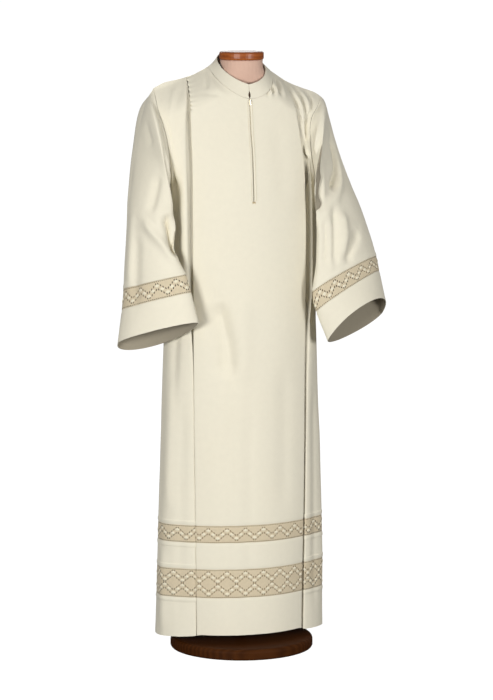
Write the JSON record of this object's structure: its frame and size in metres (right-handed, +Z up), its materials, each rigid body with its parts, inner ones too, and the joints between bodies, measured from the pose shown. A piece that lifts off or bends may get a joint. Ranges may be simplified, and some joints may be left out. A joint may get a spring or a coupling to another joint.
{
  "type": "alb robe on a limbless dress form with a round wooden base",
  "caption": "Long ivory liturgical robe with lace bands, wide sleeves, stand-up collar and front zip, displayed on a dress form stand.",
  "frame": {"origin": "centre of the stand base's underside, on the surface it stands on", "axes": "+Z up; the robe's front faces -Y; the wearer's left is +X"},
  "size_m": [0.7743, 0.397, 1.652],
  "materials": {
    "cloth": "matt ivory wool-blend cloth",
    "lace": "openwork lace on ecru net",
    "form": "beige jersey stretched over a rigid form",
    "varnished": "glossy orange-brown varnish",
    "dark_wood": "satin dark brown varnish",
    "pole": "satin black",
    "zip_metal": "ivory enamelled zip metal",
    "zip_tape": "woven ivory tape"
  },
  "bodies": {
    "robe_and_form": {"form_torso": "form", "neck_cap": "varnished", "stand_base": "dark_wood", "stand_pole": "pole", "front_panel": "cloth", "upper_lace_front": "lace", "skirt_band_front": "cloth", "lower_lace_front": "lace", "hem_band_front": "cloth", "back_panel": "cloth", "upper_lace_back": "lace", "skirt_band_back": "cloth", "lower_lace_back": "lace", "hem_band_back": "cloth", "back_side_panel_right": "cloth", "front_side_panel_right": "cloth", "upper_lace_right_side": "lace", "skirt_band_right_side": "cloth", "lower_lace_right_side": "lace", "hem_band_right_side": "cloth", "sleeve_right": "cloth", "sleeve_lace_right": "lace", "cuff_band_right": "cloth", "front_side_panel_left": "cloth", "back_side_panel_left": "cloth", "upper_lace_left_side": "lace", "skirt_band_left_side": "cloth", "lower_lace_left_side": "lace", "hem_band_left_side": "cloth", "sleeve_left": "cloth", "sleeve_lace_left": "lace", "cuff_band_left": "cloth", "collar": "cloth", "zip_tape": "zip_tape", "zip_slider": "zip_metal"},
    "pull_tab": {"zip_pull_tab": "zip_metal"}
  },
  "joints": [
    {"name": "zip_pull_swing", "type": "hinge", "parent": "robe_and_form", "child": "pull_tab", "pos_m": [0, -0.07763, 1.5205], "axis": [-1, 0, 0], "range_deg": [0, 165]}
  ]
}
